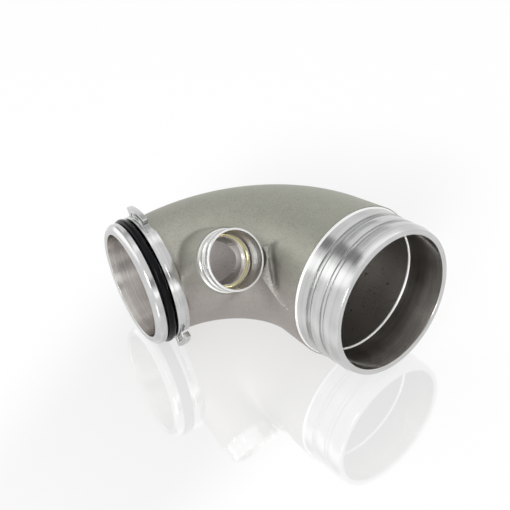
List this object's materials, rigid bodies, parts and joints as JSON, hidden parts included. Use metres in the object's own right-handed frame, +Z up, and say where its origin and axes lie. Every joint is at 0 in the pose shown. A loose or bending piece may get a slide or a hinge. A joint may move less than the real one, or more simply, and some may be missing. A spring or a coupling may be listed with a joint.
{
  "type": "turbo inlet pipe",
  "caption": "Cast aluminium intake elbow with a grooved hose spigot, an O-ring plug end with clip hooks, and a tilted side port.",
  "frame": {"origin": "centre of the hose mouth, on the hose spigot's axis", "axes": "+X out of the hose mouth, the bend in the XY plane turning towards -Y, +Z up out of the bend plane on the side port's side"},
  "size_m": [0.1439, 0.1235, 0.0794],
  "materials": {
    "cast_aluminium": "blasted casting with turned ends",
    "seal_rubber": "smooth and slightly glossy"
  },
  "bodies": {
    "root": {"elbow_casting": "cast_aluminium", "o_ring": "seal_rubber"}
  },
  "joints": []
}
